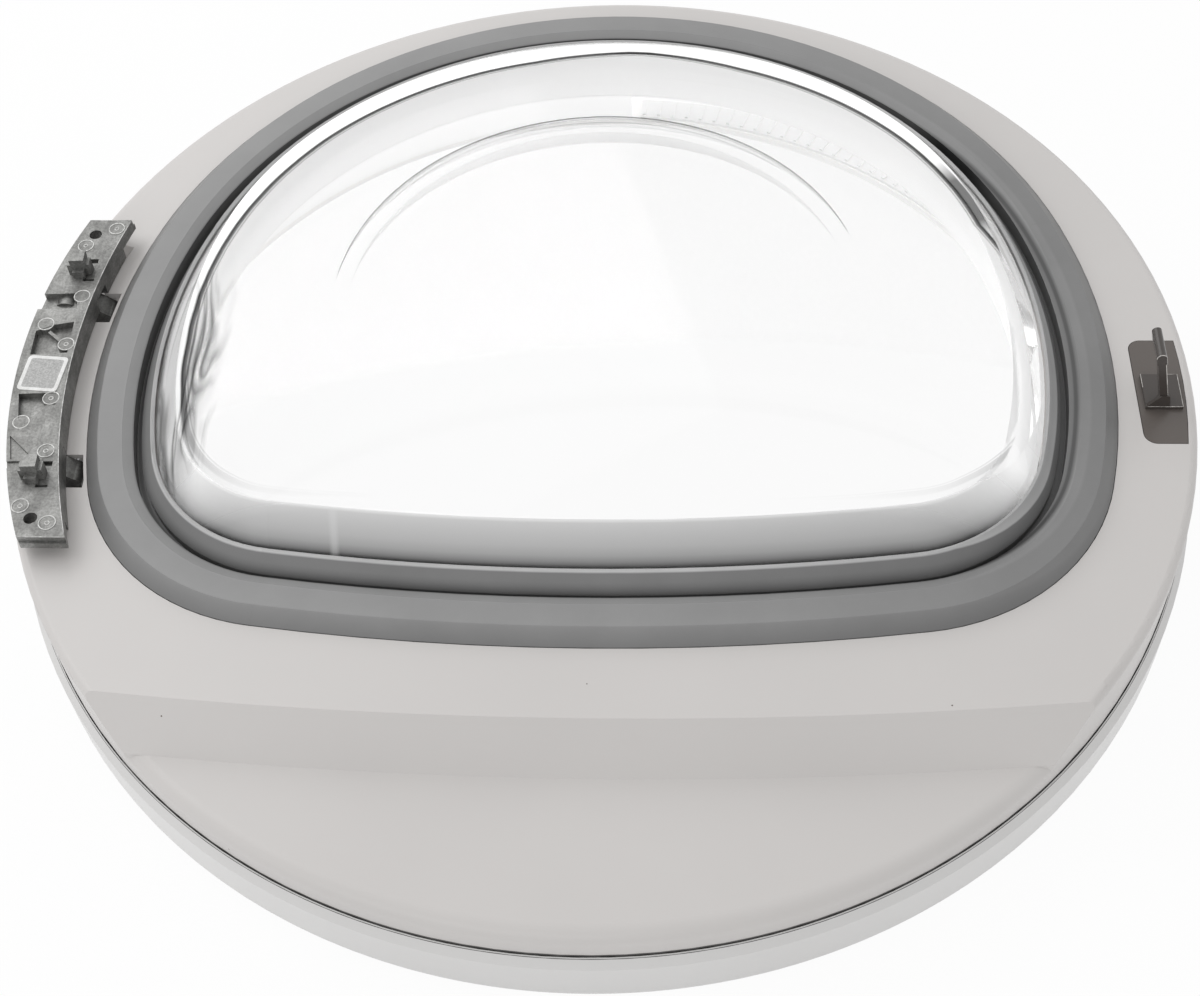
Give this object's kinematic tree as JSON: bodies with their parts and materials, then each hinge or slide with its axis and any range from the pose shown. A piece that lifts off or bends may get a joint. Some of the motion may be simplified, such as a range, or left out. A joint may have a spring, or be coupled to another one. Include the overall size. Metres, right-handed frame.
{
  "type": "dryer door",
  "caption": "Round tumble-dryer door lying face down, with a clear D-shaped window, grey rubber seal, die-cast hinge and dark latch hook.",
  "frame": {"origin": "centre of the round door on the plane of its front rim", "axes": "+Z out of the front rim towards the machine, +X from the hinge to the latch, +Y to the top of the hung door"},
  "size_m": [0.4969, 0.497, 0.0927],
  "materials": {
    "ring_plastic": "semi gloss",
    "surround_plastic": "satin",
    "frame_plastic": "satin",
    "rubber": "matte",
    "clear": "polished",
    "zinc": "as cast",
    "steel": "zinc plated",
    "nylon": "matte",
    "label": "paper",
    "dark_plastic": "satin"
  },
  "bodies": {
    "door": {"outer_ring": "ring_plastic", "handle_grip": "ring_plastic", "window_surround": "surround_plastic", "surround_screws": "steel", "window_bowl": "clear", "bowl_gasket": "rubber", "inner_frame": "frame_plastic", "door_seal": "rubber", "hinge_bracket": "steel", "bracket_screws": "steel", "arm_screws": "steel", "hinge_arm_upper": "zinc", "hinge_arm_lower": "zinc", "hinge_bush_upper": "nylon", "hinge_bush_lower": "nylon", "latch_base": "dark_plastic", "latch_hook": "dark_plastic", "latch_stiffener": "steel", "latch_screws": "steel"},
    "hinge_leaf": {"hinge_plate": "zinc", "hinge_pin_upper": "steel", "hinge_pin_lower": "steel", "hinge_label": "label"}
  },
  "joints": [
    {"name": "door_swing", "type": "hinge", "parent": "door", "child": "hinge_leaf", "pos_m": [-0.231, 0, 0.0654], "axis": [0, -1, 0], "range_deg": [0, 110]}
  ]
}
